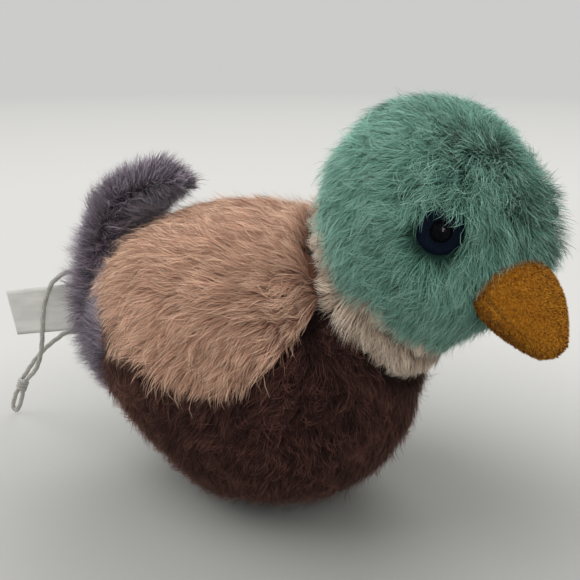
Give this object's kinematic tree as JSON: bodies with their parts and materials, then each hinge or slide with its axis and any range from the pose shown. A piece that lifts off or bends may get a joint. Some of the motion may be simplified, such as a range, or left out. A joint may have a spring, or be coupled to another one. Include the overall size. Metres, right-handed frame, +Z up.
{
  "type": "plush duck",
  "caption": "Sitting plush drake with long pile, a curled tail, a velour bill, safety eyes, a bare ribbon label and a knotted hang cord.",
  "frame": {"origin": "on the floor, at the middle of the small flat under the belly, below the body's centre", "axes": "+X towards the duck's chest, the way its body faces; +Y to its left; +Z up"},
  "size_m": [0.2116, 0.0976, 0.1298],
  "materials": {
    "teal_pile": "long plush pile, grey-green",
    "cream_pile": "long plush pile, cream",
    "brown_pile": "long plush pile, dark brown",
    "tan_pile": "long plush pile, pinkish tan",
    "grey_pile": "plush pile, purple-grey",
    "ochre_velour": "short velour pile, ochre",
    "navy_disc": "satin navy disc with soft edges",
    "black_bead": "polished black",
    "washer_plastic": "plain moulded",
    "stuffing_fibre": "loose white fibre",
    "pellet_bag_cloth": "thin cloth bag full of plastic pellets",
    "label_ribbon": "woven satin ribbon, off-white, bare",
    "cord_cotton": "twisted cotton, off-white"
  },
  "bodies": {
    "root": {"belly_panel": "brown_pile", "bill_lower": "ochre_velour", "bill_stuffing": "stuffing_fibre", "bill_upper": "ochre_velour", "body_side_left": "brown_pile", "body_side_right": "brown_pile", "body_stuffing": "stuffing_fibre", "care_label": "label_ribbon", "cord_knot": "cord_cotton", "eye_bead_left": "black_bead", "eye_bead_right": "black_bead", "eye_disc_left": "navy_disc", "eye_disc_right": "navy_disc", "eye_washer_left": "washer_plastic", "eye_washer_right": "washer_plastic", "hang_cord_lower": "cord_cotton", "hang_cord_upper": "cord_cotton", "head_gusset": "teal_pile", "head_side_left": "teal_pile", "head_side_right": "teal_pile", "head_stuffing": "stuffing_fibre", "neck_ring": "cream_pile", "pellet_bag": "pellet_bag_cloth", "tail_left": "grey_pile", "tail_right": "grey_pile", "tail_stuffing": "stuffing_fibre", "wing_left": "tan_pile", "wing_right": "tan_pile"}
  },
  "joints": []
}
